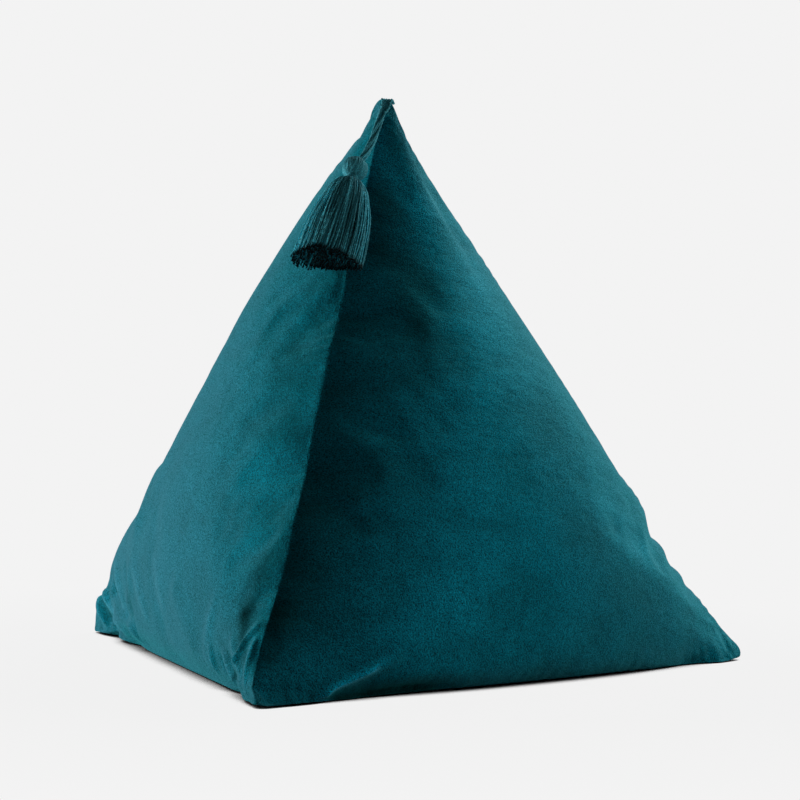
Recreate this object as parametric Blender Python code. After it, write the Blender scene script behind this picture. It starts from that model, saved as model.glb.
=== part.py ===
# Pyramid throw pillow: four triangular velvet panels sewn edge to edge and filled, standing on one
# of them, with a yarn tassel on a short twisted cord from its top corner.
# Metres, +Z up. The origin is on the floor under the middle of the base.

import math

import bpy
from mathutils import Vector
from mathutils.bvhtree import BVHTree

SEAM_LENGTH = 0.450  # tip to tip along the three base seams
CUSHION_HEIGHT = 0.3605
GAP = 0.0003  # between pieces that touch

SEAM_GRID = 42  # steps along each seam
CROWDING = 1.30  # over 1 brings the steps closer together towards the seams and corners
FLOOR_ROLL = 0.004  # how softly the base panel lifts off the floor
SEAM_ANGLE = 50.0  # a crease sharper than this is a seam's edge
# The feet between which the base lies flat, clockwise from above and as steps of the seam grid, and
# how steeply the base rises outside of them.
FEET = (
    {"left": 32, "front": 5, "right": 5, "top": 0},
    {"left": 5, "front": 5, "right": 32, "top": 0},
    {"left": 5, "front": 30, "right": 7, "top": 0},
    {"left": 7, "front": 30, "right": 5, "top": 0},
)
FEET_RISE = 0.03

# Each corner: where its tip is, and the half width of its blunt end.
BASE_REACH = SEAM_LENGTH / math.sqrt(3.0)
PANEL_DEPTH = SEAM_LENGTH * math.sqrt(0.75)  # from a seam to the opposite corner
CORNERS = {
    "left": {"bearing": 150.0, "reach": BASE_REACH, "height": 0.001, "blunt": 0.0050},
    "front": {"bearing": 270.0, "reach": BASE_REACH, "height": 0.001, "blunt": 0.0045},
    "right": {"bearing": 30.0, "reach": BASE_REACH, "height": 0.005, "blunt": 0.0050},
    "top": {"bearing": 12.0, "reach": 0.004, "height": CUSHION_HEIGHT, "blunt": 0.0075},
}

BLUNTNESS = 0.42  # how far a blunt end reaches back from its tip
TIP_HOLD = 40.0  # tucks fade out this close to a tip

# Each panel: its corners in turn, seen from outside, and how far its middle swells.
PANELS = {
    "left": {"corners": ("left", "front", "top"), "crown": 0.040},
    "right": {"corners": ("front", "right", "top"), "crown": 0.044},
    "back": {"corners": ("right", "left", "top"), "crown": 0.044},
    "base": {"corners": ("left", "right", "front"), "crown": 0.044},
}
CROWN_FULLNESS = 0.42  # over 0 swells sooner beside the seams
CROWN_EASE = 0.8  # the larger, the less steeply

# Each seam: how far its middle is drawn in, and how much more so towards its first end.
DRAW_FULLNESS = 0.6  # under 1 draws in sooner beside the tips
SEAMS = (
    {"ends": ("left", "front"), "draw": 0.002, "skew": 0.0},
    {"ends": ("front", "right"), "draw": -0.015, "skew": -0.3},
    {"ends": ("right", "left"), "draw": 0.002, "skew": 0.0},
    {"ends": ("left", "top"), "draw": 0.002, "skew": 0.0},
    {"ends": ("front", "top"), "draw": 0.004, "skew": 0.0},
    {"ends": ("right", "top"), "draw": 0.005, "skew": 0.5},
)

# Tucks and sways of a seam: the share of the way from its first end, half length along it, reach
# into the panels, and how far it moves outwards and sideways (to the left, seen from outside).
TUCKS = (
    {"ends": ("front", "top"), "at": 0.07, "length": 0.050, "reach": 0.045, "out": 0.0, "side": 0.0060},
    {"ends": ("front", "top"), "at": 0.45, "length": 0.120, "reach": 0.050, "out": 0.0, "side": 0.0022},
    {"ends": ("front", "top"), "at": 0.62, "length": 0.016, "reach": 0.020, "out": -0.0020, "side": 0.0},
    {"ends": ("front", "top"), "at": 0.36, "length": 0.018, "reach": 0.022, "out": -0.0022, "side": 0.0},
    {"ends": ("right", "top"), "at": 0.140, "length": 0.008, "reach": 0.016, "out": -0.0022, "side": 0.0},
    {"ends": ("right", "top"), "at": 0.185, "length": 0.009, "reach": 0.024, "out": -0.0035, "side": 0.0},
    {"ends": ("right", "top"), "at": 0.240, "length": 0.010, "reach": 0.028, "out": -0.0045, "side": 0.0},
    {"ends": ("right", "top"), "at": 0.300, "length": 0.018, "reach": 0.030, "out": 0.0015, "side": 0.0},
    {"ends": ("left", "top"), "at": 0.800, "length": 0.055, "reach": 0.045, "out": 0.0055, "side": 0.0},
    {"ends": ("left", "top"), "at": 0.875, "length": 0.032, "reach": 0.030, "out": 0.0035, "side": 0.0},
    {"ends": ("left", "top"), "at": 0.150, "length": 0.045, "reach": 0.050, "out": 0.0145, "side": 0.0},
    {"ends": ("left", "top"), "at": 0.945, "length": 0.007, "reach": 0.012, "out": -0.0025, "side": 0.0},
    {"ends": ("left", "top"), "at": 0.085, "length": 0.010, "reach": 0.022, "out": -0.0030, "side": 0.0},
    {"ends": ("left", "front"), "at": 0.110, "length": 0.016, "reach": 0.024, "out": -0.0065, "side": 0.0},
    {"ends": ("left", "front"), "at": 0.240, "length": 0.014, "reach": 0.020, "out": -0.0025, "side": 0.0},
    {"ends": ("left", "front"), "at": 0.860, "length": 0.012, "reach": 0.020, "out": -0.0030, "side": 0.0},
    {"ends": ("front", "right"), "at": 0.120, "length": 0.014, "reach": 0.024, "out": -0.0030, "side": 0.0},
    {"ends": ("front", "right"), "at": 0.880, "length": 0.014, "reach": 0.024, "out": -0.0030, "side": 0.0},
    {"ends": ("right", "left"), "at": 0.110, "length": 0.012, "reach": 0.024, "out": -0.0035, "side": 0.0},
    {"ends": ("right", "left"), "at": 0.210, "length": 0.014, "reach": 0.024, "out": -0.0025, "side": 0.0},
    {"ends": ("right", "left"), "at": 0.880, "length": 0.013, "reach": 0.024, "out": -0.0035, "side": 0.0},
)

# Folds and soft swellings of a panel: where each starts and ends, as shares of the panel's corners
# in turn, its half width, and its rise, which is negative for a hollow.
FOLDS = (
    {"panel": "left", "from": (0.08, 0.84, 0.08), "to": (0.1, 0.878, 0.022), "width": 0.005, "rise": 0.0035},
    {"panel": "left", "from": (0.03, 0.85, 0.12), "to": (0.06, 0.88, 0.06), "width": 0.005, "rise": 0.003},
    {"panel": "left", "from": (0.12, 0.82, 0.06), "to": (0.12, 0.855, 0.025), "width": 0.005, "rise": -0.003},
    {"panel": "left", "from": (0.82, 0.12, 0.06), "to": (0.717, 0.26, 0.023), "width": 0.006, "rise": 0.0055},
    {"panel": "left", "from": (0.79, 0.14, 0.07), "to": (0.69, 0.27, 0.04), "width": 0.006, "rise": -0.0045},
    {"panel": "left", "from": (0.89, 0.07, 0.04), "to": (0.89, 0.09, 0.02), "width": 0.0045, "rise": 0.003},
    {"panel": "left", "from": (0.55, 0.16, 0.29), "to": (0.57, 0.21, 0.22), "width": 0.012, "rise": 0.0025},
    {"panel": "left", "from": (0.58, 0.23, 0.19), "to": (0.67, 0.26, 0.07), "width": 0.013, "rise": 0.003},
    {"panel": "left", "from": (0.45, 0.33, 0.22), "to": (0.44, 0.5, 0.06), "width": 0.013, "rise": -0.002},
    {"panel": "left", "from": (0.33, 0.56, 0.11), "to": (0.29, 0.66, 0.05), "width": 0.011, "rise": 0.002},
    {"panel": "left", "from": (0.06, 0.35, 0.59), "to": (0.04, 0.49, 0.47), "width": 0.014, "rise": -0.002},
    {"panel": "left", "from": (0.04, 0.62, 0.34), "to": (0.04, 0.72, 0.24), "width": 0.012, "rise": -0.002},
    {"panel": "left", "from": (0.62, 0.22, 0.16), "to": (0.56, 0.24, 0.2), "width": 0.06, "rise": 0.001},
    {"panel": "left", "from": (0.23, 0.14, 0.63), "to": (0.15, 0.11, 0.74), "width": 0.045, "rise": 0.004},
    {"panel": "right", "from": (0.74, 0.2, 0.06), "to": (0.872, 0.11, 0.018), "width": 0.006, "rise": 0.004},
    {"panel": "right", "from": (0.7, 0.26, 0.04), "to": (0.805, 0.17, 0.025), "width": 0.01, "rise": -0.0035},
    {"panel": "right", "from": (0.78, 0.14, 0.08), "to": (0.84, 0.09, 0.07), "width": 0.007, "rise": -0.0025},
    {"panel": "right", "from": (0.04, 0.07, 0.89), "to": (0.04, 0.03, 0.93), "width": 0.006, "rise": -0.003},
    {"panel": "right", "from": (0.56, 0.06, 0.38), "to": (0.62, 0.06, 0.32), "width": 0.013, "rise": 0.002},
    {"panel": "right", "from": (0.12, 0.69, 0.19), "to": (0.2, 0.56, 0.24), "width": 0.011, "rise": -0.0025},
    {"panel": "back", "from": (0.76, 0.16, 0.08), "to": (0.68, 0.21, 0.11), "width": 0.01, "rise": 0.003},
    {"panel": "back", "from": (0.16, 0.74, 0.1), "to": (0.22, 0.64, 0.14), "width": 0.011, "rise": 0.003},
    {"panel": "back", "from": (0.13, 0.66, 0.21), "to": (0.19, 0.58, 0.23), "width": 0.012, "rise": -0.0025},
    {"panel": "back", "from": (0.06, 0.06, 0.88), "to": (0.09, 0.12, 0.79), "width": 0.009, "rise": 0.002},
)
SEAM_HOLD = 0.012  # folds fade out this share before a seam

# The tassel. Its cord's route is from the tip to the ball, and its skirt spreads to an oval hem.
CORD_ROUTE = (
    (0.0069, -0.0043, 0.3575),
    (0.0067, -0.0071, 0.3535),
    (0.0057, -0.0108, 0.3487),
    (0.0047, -0.0145, 0.3433),
    (0.0040, -0.0181, 0.3379),
    (0.0031, -0.0219, 0.3326),
    (0.0020, -0.0263, 0.3272),
    (0.0007, -0.0312, 0.3224),
)
CORD_RADIUS = 0.0022
CORD_FLARE = 0.45  # how much wider its strands lie apart at the tip
CORD_FLARE_REACH = 0.25  # and over what share of its length
CORD_STRANDS = 4
CORD_LOBE = 0.16  # depth of the grooves between the strands, as a share of the radius
CORD_TURNS = 1.5
CORD_STEP = 0.0012  # from one ring of points to the next
BALL_MIDDLE = (-0.0041, -0.0399, 0.3118)
BALL_RADIUS = 0.0079
BALL_WRAPS = 12
BALL_ROWS = 14
WRAP_RISE = 0.0004
WRAP_SLANT = 5.0
HEM_MIDDLE = (-0.0090, -0.0846, 0.2544)
HEM_HALF_WIDTH = 0.0225
HEM_HALF_DEPTH = 0.0105
HEM_DROOP = 0.0060  # how far the sides of the skirt fall back around the cushion
HEM_EVENING = 0.17  # brings the strands to even distances round the oval hem
COLLAR_RADIUS = 0.0062
COLLAR_SQUASH = 0.75
COLLAR_CELLS = 60
COLLAR_TOP = (115.0, 150.0)  # angles of the collar's bare upper rows
# Each ring of strands: the angles between which it leaves the collar, from straight down, the cells
# from one strand to the next and the first one's cell, its reach as a share of the hem, and the
# width of a strand.
RINGS = (
    {"from": 15.0, "to": 28.0, "every": 4, "first": 0, "reach": 0.30, "width": 0.0013},
    {"from": 42.0, "to": 58.0, "every": 2, "first": 1, "reach": 0.66, "width": 0.0015},
    {"from": 78.0, "to": 94.0, "every": 2, "first": 0, "reach": 1.00, "width": 0.0021},
)
STRAND_STEPS = 5
STRAND_START = 0.45  # a strand's width as it leaves the collar, as a share of its full width
STRAND_GROWTH = 0.275  # and how much of it each step adds
STRAND_LIFT = 0.8  # how far the strands in front lie over the ones behind, as a share of the hem
SHOULDER = 0.0035  # how far the strands stand straight out of the collar
SHOULDER_SHARE = 0.33  # and more of it for those that go far sideways
WAIST = 0.026  # how far above the hem the strands already hang straight


def corner_point(name):
    row = CORNERS[name]
    angle = math.radians(row["bearing"])
    return Vector((row["reach"] * math.cos(angle), row["reach"] * math.sin(angle), row["height"]))


TIPS = {name: corner_point(name) for name in CORNERS}
MIDDLE = sum(TIPS.values(), Vector()) / len(TIPS)


def panel_normal(name):
    a, b, c = (TIPS[corner] for corner in PANELS[name]["corners"])
    return (b - a).cross(c - a).normalized()


NORMALS = {name: panel_normal(name) for name in PANELS}


def flat_point(shares):
    """The point of the flat panels that has these shares of the corners."""
    return sum((share * TIPS[corner] for corner, share in shares.items()), Vector())


def bell(distance, width):
    """1 at no distance, falling softly to nothing a few widths away."""
    return math.exp(-((distance / width) ** 2))


def blunt_tip(corner, shares):
    """How far the cloth near a tip stands out sideways, so that the tip is a blunt end and not a needle."""
    away = 1.0 - shares[corner]
    if away < 1e-9:
        return Vector()
    axis = (TIPS[corner] - MIDDLE).normalized()
    sideways = Vector()
    for other, share in shares.items():
        if other != corner:
            step = TIPS[other] - TIPS[corner]
            sideways += share * (step - axis * step.dot(axis))
    blunt = CORNERS[corner]["blunt"] / BASE_REACH
    return sideways * ((1.0 + (blunt / away) ** 2) ** BLUNTNESS - 1.0)


def seam_axes(ends):
    """(along the seam, outwards from it, to its left seen from outside), and its length."""
    first, last = (TIPS[end] for end in ends)
    along = (last - first).normalized()
    middle = (first + last) / 2 - MIDDLE
    outward = (middle - along * middle.dot(along)).normalized()
    return along, outward, outward.cross(along), (last - first).length


def beside_seam(ends, shares):
    """(share of the way from the seam's first end, distance from the seam)."""
    held = shares[ends[0]] + shares[ends[1]]
    return shares[ends[1]] / held, (1.0 - held) * PANEL_DEPTH


def seam_shift(seam, shares):
    """How far the cloth is drawn in around a seam."""
    first, last = (shares[end] for end in seam["ends"])
    if first * last <= 0.0:
        return Vector()
    share, _ = beside_seam(seam["ends"], shares)
    outward = seam_axes(seam["ends"])[1]
    skew = 1.0 + seam["skew"] * (1.0 - 2.0 * share)
    return outward * (-seam["draw"] * skew * (4.0 * first * last) ** DRAW_FULLNESS)


def tuck_shift(tuck, shares):
    """How far one tuck moves the cloth on both sides of its seam."""
    if shares[tuck["ends"][0]] * shares[tuck["ends"][1]] <= 0.0:
        return Vector()
    _, outward, left, length = seam_axes(tuck["ends"])
    share, distance = beside_seam(tuck["ends"], shares)
    size = bell((share - tuck["at"]) * length, tuck["length"]) * bell(distance, tuck["reach"])
    size *= min(1.0, TIP_HOLD * share * (1.0 - share))
    return (outward * tuck["out"] + left * tuck["side"]) * size


def crown(panel, shares):
    """How far the filling swells a panel: nothing at its seams and most in its middle."""
    product = 27.0
    for corner in PANELS[panel]["corners"]:
        product *= shares[corner]
    swell = product * ((1.0 + CROWN_EASE) / (product + CROWN_EASE)) ** CROWN_FULLNESS
    return NORMALS[panel] * (PANELS[panel]["crown"] * swell)


def fold_shift(fold, shares):
    """How far one fold lifts its panel, fading out before the seams."""
    corners = PANELS[fold["panel"]]["corners"]
    start, end = (flat_point(dict(zip(corners, fold[key]))) for key in ("from", "to"))
    here = flat_point(shares)
    along = end - start
    share = min(1.0, max(0.0, (here - start).dot(along) / along.length_squared))
    distance = (here - start - along * share).length
    nearest = min(shares[corner] for corner in corners)
    fade = min(1.0, nearest / SEAM_HOLD)
    return NORMALS[fold["panel"]] * (fold["rise"] * bell(distance, fold["width"]) * fade)


def filled_point(shares):
    """Where the filling holds the cloth, for a point given as its shares of the four corners."""
    point = flat_point(shares)
    for corner in CORNERS:
        point += blunt_tip(corner, shares)
    for seam in SEAMS:
        point += seam_shift(seam, shares)
    for tuck in TUCKS:
        point += tuck_shift(tuck, shares)
    for panel, row in PANELS.items():
        if all(shares[corner] > 0.0 for corner in row["corners"]):
            point += crown(panel, shares)
            for fold in FOLDS:
                if fold["panel"] == panel:
                    point += fold_shift(fold, shares)
    return point


def crowded(steps):
    """Shares of the corners from whole steps of the seam grid."""
    weights = {corner: (step / SEAM_GRID) ** CROWDING for corner, step in steps.items()}
    total = sum(weights.values())
    return {corner: weight / total for corner, weight in weights.items()}


FOOT_POINTS = [filled_point(crowded(steps)) for steps in FEET]


def outside_feet(point):
    """How far a point lies outside of the flat area between the feet."""
    distances = []
    for i, start in enumerate(FOOT_POINTS):
        ahead = (FOOT_POINTS[(i + 1) % len(FOOT_POINTS)] - start).xy.normalized()
        step = (point - start).xy
        distances.append(ahead.x * step.y - ahead.y * step.x)
    return max(distances)


def press_on_floor(point):
    """The floor flattens what would hang below it, with a soft roll where the cloth lifts off."""
    outside = outside_feet(point)
    if point.z < -FLOOR_ROLL or (point.z < FLOOR_ROLL and outside < 1e-6):
        point.z = 0.0
    elif point.z < FLOOR_ROLL:
        point.z = (point.z + FLOOR_ROLL) ** 2 / (4.0 * FLOOR_ROLL)
    if outside >= 1e-6:
        point.z = max(point.z, FEET_RISE * outside)
    return point


def new_object(name, points, faces, material):
    mesh = bpy.data.meshes.new(name)
    mesh.from_pydata([tuple(point) for point in points], [], faces)
    mesh.materials.append(material)
    mesh.validate()
    mesh.shade_smooth()
    made = bpy.data.objects.new(name, mesh)
    bpy.context.scene.collection.objects.link(made)
    return made


def new_material(name, colour, roughness):
    material = bpy.data.materials.new(name)
    material.use_nodes = True
    shader = material.node_tree.nodes["Principled BSDF"]
    shader.inputs["Base Color"].default_value = (*colour, 1.0)
    shader.inputs["Roughness"].default_value = roughness
    shader.inputs["Metallic"].default_value = 0.0
    return material


def make_cushion(material):
    points, faces, index = [], [], {}

    def vertex(corners, i, j):
        steps = {corner: 0 for corner in CORNERS}
        steps[corners[0]] = SEAM_GRID - i - j
        steps[corners[1]] = i
        steps[corners[2]] = j
        key = tuple(steps.values())
        if key not in index:
            index[key] = len(points)
            points.append(press_on_floor(filled_point(crowded(steps))))
        return index[key]

    for panel in PANELS.values():
        corners = panel["corners"]
        for i in range(SEAM_GRID):
            for j in range(SEAM_GRID - i):
                here = vertex(corners, i, j)
                right = vertex(corners, i + 1, j)
                up = vertex(corners, i, j + 1)
                faces.append((here, right, up))
                if i + j + 2 <= SEAM_GRID:
                    faces.append((right, vertex(corners, i + 1, j + 1), up))
    made = new_object("cushion", points, faces, material)
    made.data.set_sharp_from_angle(angle=math.radians(SEAM_ANGLE))
    return made


def clear_of(tree, point, clearance):
    """The point, moved out of the cloth until it is this far from it."""
    for _ in range(3):
        place, normal, _, _ = tree.find_nearest(point)
        outside = (point - place).dot(normal)
        if outside >= clearance:
            break
        point = point + normal * (clearance - outside)
    return point


def smooth_route(route, step):
    """Points about a step apart on a smooth curve through the route's own points."""
    made = []
    for i in range(len(route) - 1):
        before, start, end = route[max(i - 1, 0)], route[i], route[i + 1]
        after = route[min(i + 2, len(route) - 1)]
        count = max(1, round((end - start).length / step))
        for k in range(count):
            t = k / count
            pull_in = (end - before) * 0.5
            pull_out = (after - start) * 0.5
            made.append(
                start * (2 * t**3 - 3 * t**2 + 1)
                + pull_in * (t**3 - 2 * t**2 + t)
                + end * (3 * t**2 - 2 * t**3)
                + pull_out * (t**3 - t**2)
            )
    made.append(route[-1])
    return made


def make_cord(material, tree, ball):
    """Strands laid round each other, as one lobed tube that turns along its route."""
    knot = (Vector(CORD_ROUTE[-1]) - ball).normalized() * (BALL_RADIUS + WRAP_RISE + GAP)
    line = smooth_route([Vector(point) for point in CORD_ROUTE] + [ball + knot], CORD_STEP)
    last = len(line) - 1
    radii = [CORD_RADIUS * (1.0 + CORD_FLARE * bell(i / last, CORD_FLARE_REACH)) for i in range(last + 1)]
    line = [clear_of(tree, point, radius + 2.0 * GAP) for point, radius in zip(line, radii)]
    sides = 3 * CORD_STRANDS
    points, faces = [], []
    across = Vector((1.0, 0.0, 0.0))
    for i, here in enumerate(line):
        ahead = (line[min(i + 1, last)] - line[max(i - 1, 0)]).normalized()
        across = (across - ahead * across.dot(ahead)).normalized()
        third = ahead.cross(across)
        turned = 2.0 * math.pi * CORD_TURNS * i / last
        for k in range(sides):
            angle = 2.0 * math.pi * k / sides
            lobe = 1.0 - CORD_LOBE * (1.0 - math.cos(CORD_STRANDS * angle))
            spoke = across * math.cos(angle + turned) + third * math.sin(angle + turned)
            points.append(here + spoke * (radii[i] * lobe))
    for i in range(last):
        for k in range(sides):
            a, b = i * sides + k, i * sides + (k + 1) % sides
            faces.append((a, b, b + sides, a + sides))
    faces.append(tuple(reversed(range(sides))))
    faces.append(tuple(range(len(points) - sides, len(points))))
    return new_object("tassel_cord", points, faces, material)


def skirt_axes(ball):
    """(down the skirt, to its right, away from the cushion)."""
    down = (Vector(HEM_MIDDLE) - ball).normalized()
    across = Vector((1.0, 0.0, 0.0))
    across = (across - down * across.dot(down)).normalized()
    return down, across, down.cross(across)


def round_point(middle, axes, radius, squash, angle, bearing):
    """A point of a squashed ball: its angle from straight down the skirt, and its bearing round it."""
    down, across, away = axes
    spoke = across * math.cos(bearing) + away * math.sin(bearing)
    return middle + (down * (squash * math.cos(angle)) + spoke * math.sin(angle)) * radius


def cap_and_band(points, sides):
    """Faces of a closed shape whose points are a pole, rings of so many sides, and a pole."""
    last = len(points) - 1
    rings = (last - 1) // sides
    caps, bands = [], []
    for k in range(sides):
        after = (k + 1) % sides
        caps.append((0, 1 + k, 1 + after))
        caps.append((last, last - sides + after, last - sides + k))
        for i in range(rings - 1):
            a, b = 1 + i * sides + k, 1 + i * sides + after
            bands.append((i, k, (a, a + sides, b + sides, b)))
    return caps, bands


def make_ball(material, ball):
    """The wound ball over the skirt, its wraps raised as slanting ribs."""
    axes = skirt_axes(ball)
    sides = 3 * BALL_WRAPS
    points = [round_point(ball, axes, BALL_RADIUS, 1.0, 0.0, 0.0)]
    for i in range(1, BALL_ROWS):
        angle = math.pi * i / BALL_ROWS
        for k in range(sides):
            bearing = 2.0 * math.pi * k / sides
            rib = math.cos(BALL_WRAPS * bearing + WRAP_SLANT * angle) * math.sin(angle)
            points.append(round_point(ball, axes, BALL_RADIUS + WRAP_RISE * rib, 1.0, angle, bearing))
    points.append(round_point(ball, axes, BALL_RADIUS, 1.0, math.pi, 0.0))
    caps, bands = cap_and_band(points, sides)
    return new_object("tassel_ball", points, caps + [face for _, _, face in bands], material)


def strand_line(tree, axes, root, outward, bearing, ring):
    """A strand's line from its root: outwards at first, then down to its place at the hem."""
    down, across, away = axes
    even = bearing + HEM_EVENING * math.sin(2.0 * bearing)
    sideways = HEM_HALF_WIDTH * ring["reach"] * math.cos(even)
    forward = HEM_HALF_DEPTH * ring["reach"] * math.sin(even)
    droop = HEM_DROOP * (sideways / HEM_HALF_WIDTH) ** 2
    hem = Vector(HEM_MIDDLE) + across * sideways + away * (forward - droop)
    spread = max(0.0, math.hypot(sideways, forward) - COLLAR_RADIUS)
    shoulder = root + outward * (SHOULDER + SHOULDER_SHARE * spread)
    waist = hem - down * WAIST
    line = [root]
    for i in range(1, STRAND_STEPS + 1):
        t = i / STRAND_STEPS
        point = (
            root * (1 - t) ** 3
            + shoulder * (3 * t * (1 - t) ** 2)
            + waist * (3 * t**2 * (1 - t))
            + hem * t**3
        )
        behind = (forward + HEM_HALF_DEPTH) * t
        line.append(clear_of(tree, point, ring["width"] + GAP + STRAND_LIFT * behind))
    return line


def add_strand(points, faces, corners, line, width):
    """Draws a four-sided strand out of a quad of the collar, along its line."""
    before = corners
    for i in range(1, len(line)):
        ahead = (line[min(i + 1, len(line) - 1)] - line[i - 1]).normalized()
        sideways = points[corners[3]] - points[corners[0]]
        sideways = (sideways - ahead * sideways.dot(ahead)).normalized()
        outwards = ahead.cross(sideways)
        half = width * min(1.0, STRAND_START + STRAND_GROWTH * i) / 2
        start = len(points)
        for s, o in ((-1, 1), (-1, -1), (1, -1), (1, 1)):
            points.append(line[i] + sideways * (s * half) + outwards * (o * half))
        here = tuple(range(start, start + 4))
        for n in range(4):
            m = (n + 1) % 4
            faces.append((before[n], before[m], here[m], here[n]))
        before = here
    faces.append(before)


def make_skirt(material, tree, ball):
    """A collar under the ball, with strands drawn out of its sides and underside."""
    axes = skirt_axes(ball)
    depth = COLLAR_RADIUS * COLLAR_SQUASH
    middle = ball + axes[0] * (BALL_RADIUS + WRAP_RISE + GAP + depth)
    middle = clear_of(tree, middle, COLLAR_RADIUS + GAP)
    shape = (middle, axes, COLLAR_RADIUS, COLLAR_SQUASH)
    angles = [ring[end] for ring in RINGS for end in ("from", "to")] + list(COLLAR_TOP)
    points = [round_point(*shape, 0.0, 0.0)]
    for angle in angles:
        for k in range(COLLAR_CELLS):
            points.append(round_point(*shape, math.radians(angle), 2.0 * math.pi * k / COLLAR_CELLS))
    points.append(round_point(*shape, math.pi, 0.0))
    faces, bands = cap_and_band(points, COLLAR_CELLS)
    for row, k, corners in bands:
        ring = RINGS[row // 2] if row % 2 == 0 and row < 2 * len(RINGS) else None
        if ring is None or k % ring["every"] != ring["first"]:
            faces.append(corners)
            continue
        bearing = 2.0 * math.pi * (k + 0.5) / COLLAR_CELLS
        root = sum((points[i] for i in corners), Vector()) / 4
        line = strand_line(tree, axes, root, (root - middle).normalized(), bearing, ring)
        add_strand(points, faces, corners, line, ring["width"])
    return new_object("tassel_skirt", points, faces, material)


def main():
    for old in list(bpy.data.objects):
        bpy.data.objects.remove(old)
    velvet = new_material("velvet", (0.006, 0.12, 0.14), 0.75)
    yarn = new_material("tassel_yarn", (0.008, 0.10, 0.11), 0.85)
    cushion = make_cushion(velvet)
    corners = [vertex.co for vertex in cushion.data.vertices]
    tree = BVHTree.FromPolygons(corners, [tuple(face.vertices) for face in cushion.data.polygons])
    ball = clear_of(tree, Vector(BALL_MIDDLE), BALL_RADIUS + WRAP_RISE + GAP)
    make_cord(yarn, tree, ball)
    make_ball(yarn, ball)
    make_skirt(yarn, tree, ball)


main()
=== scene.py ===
import math
import bmesh
import bpy
import numpy as np
from mathutils import Matrix, Vector
from mathutils.bvhtree import BVHTree


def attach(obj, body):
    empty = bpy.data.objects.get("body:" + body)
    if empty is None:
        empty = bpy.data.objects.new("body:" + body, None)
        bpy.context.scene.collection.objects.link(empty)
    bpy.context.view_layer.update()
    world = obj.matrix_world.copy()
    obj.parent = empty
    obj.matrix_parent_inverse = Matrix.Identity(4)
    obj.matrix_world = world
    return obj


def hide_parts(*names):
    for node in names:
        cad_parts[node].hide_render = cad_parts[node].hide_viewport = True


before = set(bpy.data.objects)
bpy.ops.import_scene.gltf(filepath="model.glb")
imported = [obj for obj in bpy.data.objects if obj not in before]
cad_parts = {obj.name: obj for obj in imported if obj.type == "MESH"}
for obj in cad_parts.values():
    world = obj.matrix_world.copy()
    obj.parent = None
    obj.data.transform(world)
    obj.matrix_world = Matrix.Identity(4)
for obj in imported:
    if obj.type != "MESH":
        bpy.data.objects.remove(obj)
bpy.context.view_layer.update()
scene = bpy.context.scene
print("frame loaded:", sorted(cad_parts))

# Camera: a long lens nearly level with the floor, turned about a degree.
viewSettings = {
    "azimuth": 12.58,
    "elevation": 0.60,
    "roll": 1.19,
    "distance": 1.80,
    "lens": 127.35,
    "sensor": 36.0,
    "aimRight": 0.0183,
    "aimHeight": 0.1683,
}


def makeCamera(settings):
    azimuth, elevation, roll = (math.radians(settings[key]) for key in ("azimuth", "elevation", "roll"))
    right = Vector((math.cos(azimuth), math.sin(azimuth), 0))
    level = math.cos(elevation)
    back = Vector((math.sin(azimuth) * level, -math.cos(azimuth) * level, math.sin(elevation)))
    up = back.cross(right)
    aim = right * settings["aimRight"] + Vector((0, 0, settings["aimHeight"]))
    turnedRight = right * math.cos(roll) + up * math.sin(roll)
    turnedUp = up * math.cos(roll) - right * math.sin(roll)
    lens = bpy.data.cameras.new("camera")
    lens.sensor_width = settings["sensor"]
    lens.lens = settings["lens"]
    camera = bpy.data.objects.new("camera", lens)
    scene.collection.objects.link(camera)
    turn = Matrix((turnedRight, turnedUp, back)).transposed().to_4x4()
    camera.matrix_world = Matrix.Translation(aim + back * settings["distance"]) @ turn
    scene.camera = camera


makeCamera(viewSettings)
print("camera set")


# Mesh helpers.
def newObject(name, points, faces, edges=()):
    mesh = bpy.data.meshes.new(name)
    mesh.from_pydata([tuple(point) for point in points], list(edges), [tuple(face) for face in faces])
    mesh.update()
    made = bpy.data.objects.new(name, mesh)
    scene.collection.objects.link(made)
    return made


def readPoints(mesh):
    values = np.empty(len(mesh.vertices) * 3, np.float32)
    mesh.vertices.foreach_get("co", values)
    return values.reshape(-1, 3).astype(float)


def addValues(mesh, name, kind, domain, values):
    layer = mesh.attributes.new(name, kind, domain)
    layer.data.foreach_set("vector" if kind == "FLOAT_VECTOR" else "value", values)


def unitOf(vector):
    return vector / np.linalg.norm(vector)


def bell(distance, width):
    return np.exp(-((distance / width) ** 2))


# Cushion: four panels between four corners, described by each point's shares of the corners.
cushionSettings = {
    "seamLength": 0.450,
    "height": 0.3605,
    "steps": 192,
    "crowding": 1.30,
    "floorRoll": 0.004,
    "bluntness": 0.42,
    "tipHold": 40.0,
    "crownFullness": 0.42,
    "crownEase": 0.8,
    "drawFullness": 0.6,
    "seamHold": 0.012,
}
cornerNames = ("left", "front", "right", "top")
baseReach = cushionSettings["seamLength"] / math.sqrt(3.0)
panelDepth = cushionSettings["seamLength"] * math.sqrt(0.75)
cornerTable = {
    "left": {"bearing": 150.0, "reach": baseReach, "height": 0.001, "blunt": 0.0050},
    "front": {"bearing": 270.0, "reach": baseReach, "height": 0.001, "blunt": 0.0045},
    "right": {"bearing": 30.0, "reach": baseReach, "height": 0.005, "blunt": 0.0050},
    "top": {"bearing": 12.0, "reach": 0.004, "height": cushionSettings["height"], "blunt": 0.0075},
}
panelTable = {
    "left": {"corners": ("left", "front", "top"), "crown": 0.040},
    "right": {"corners": ("front", "right", "top"), "crown": 0.044},
    "back": {"corners": ("right", "left", "top"), "crown": 0.044},
    "base": {"corners": ("left", "right", "front"), "crown": 0.044},
}
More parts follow.
